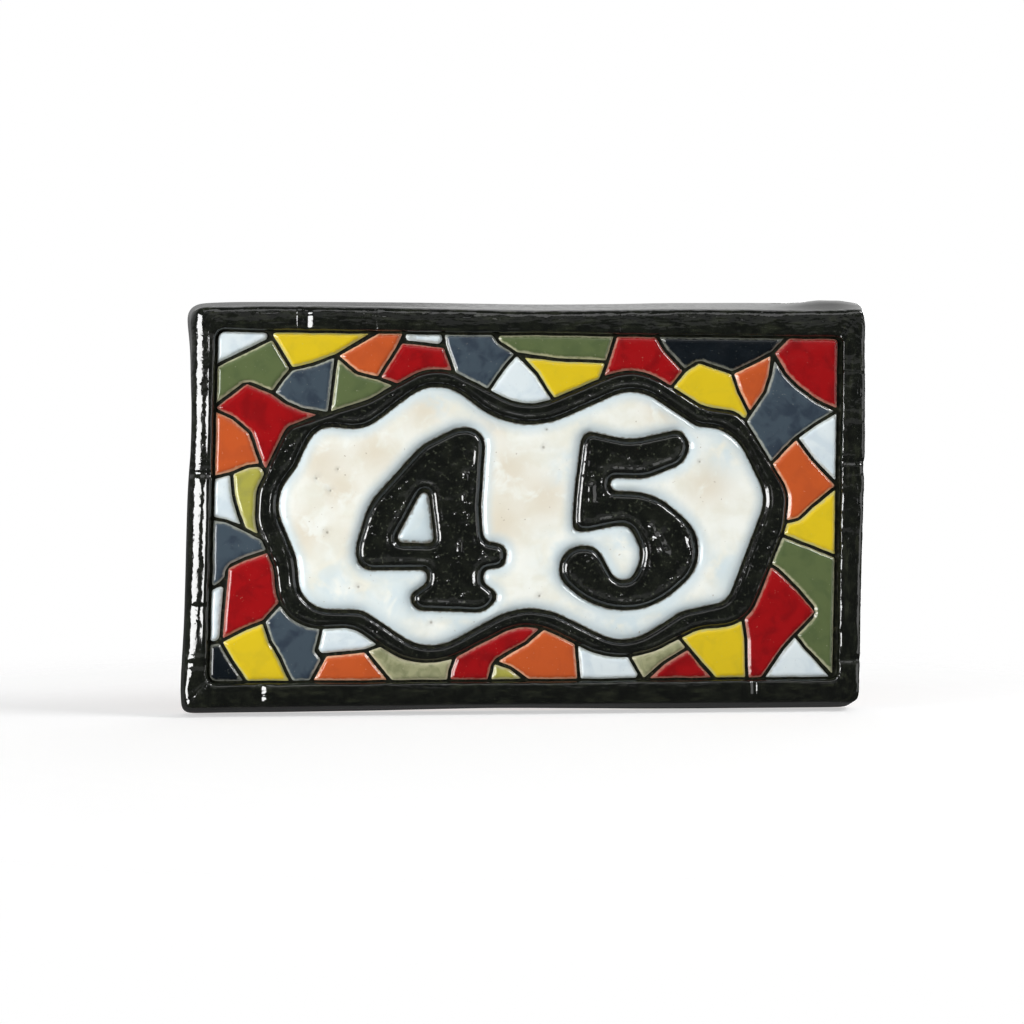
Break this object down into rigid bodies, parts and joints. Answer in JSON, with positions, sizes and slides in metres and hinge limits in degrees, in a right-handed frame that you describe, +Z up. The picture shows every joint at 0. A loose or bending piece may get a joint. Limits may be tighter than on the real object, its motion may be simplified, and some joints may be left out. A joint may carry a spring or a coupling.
{
  "type": "house number plaque",
  "caption": "Rectangular glazed ceramic house number plaque with a rolled rim, a crazy mosaic border and a scalloped cartouche with raised numerals.",
  "frame": {"origin": "middle of the flat back face", "axes": "+Z up the plaque, +X to the viewer's right, +Y out of the back towards the wall; the glazed front faces -Y"},
  "size_m": [0.1517, 0.01, 0.0918],
  "materials": {
    "glazed_clay": "gloss"
  },
  "bodies": {
    "root": {"plaque": "glazed_clay"}
  },
  "joints": []
}
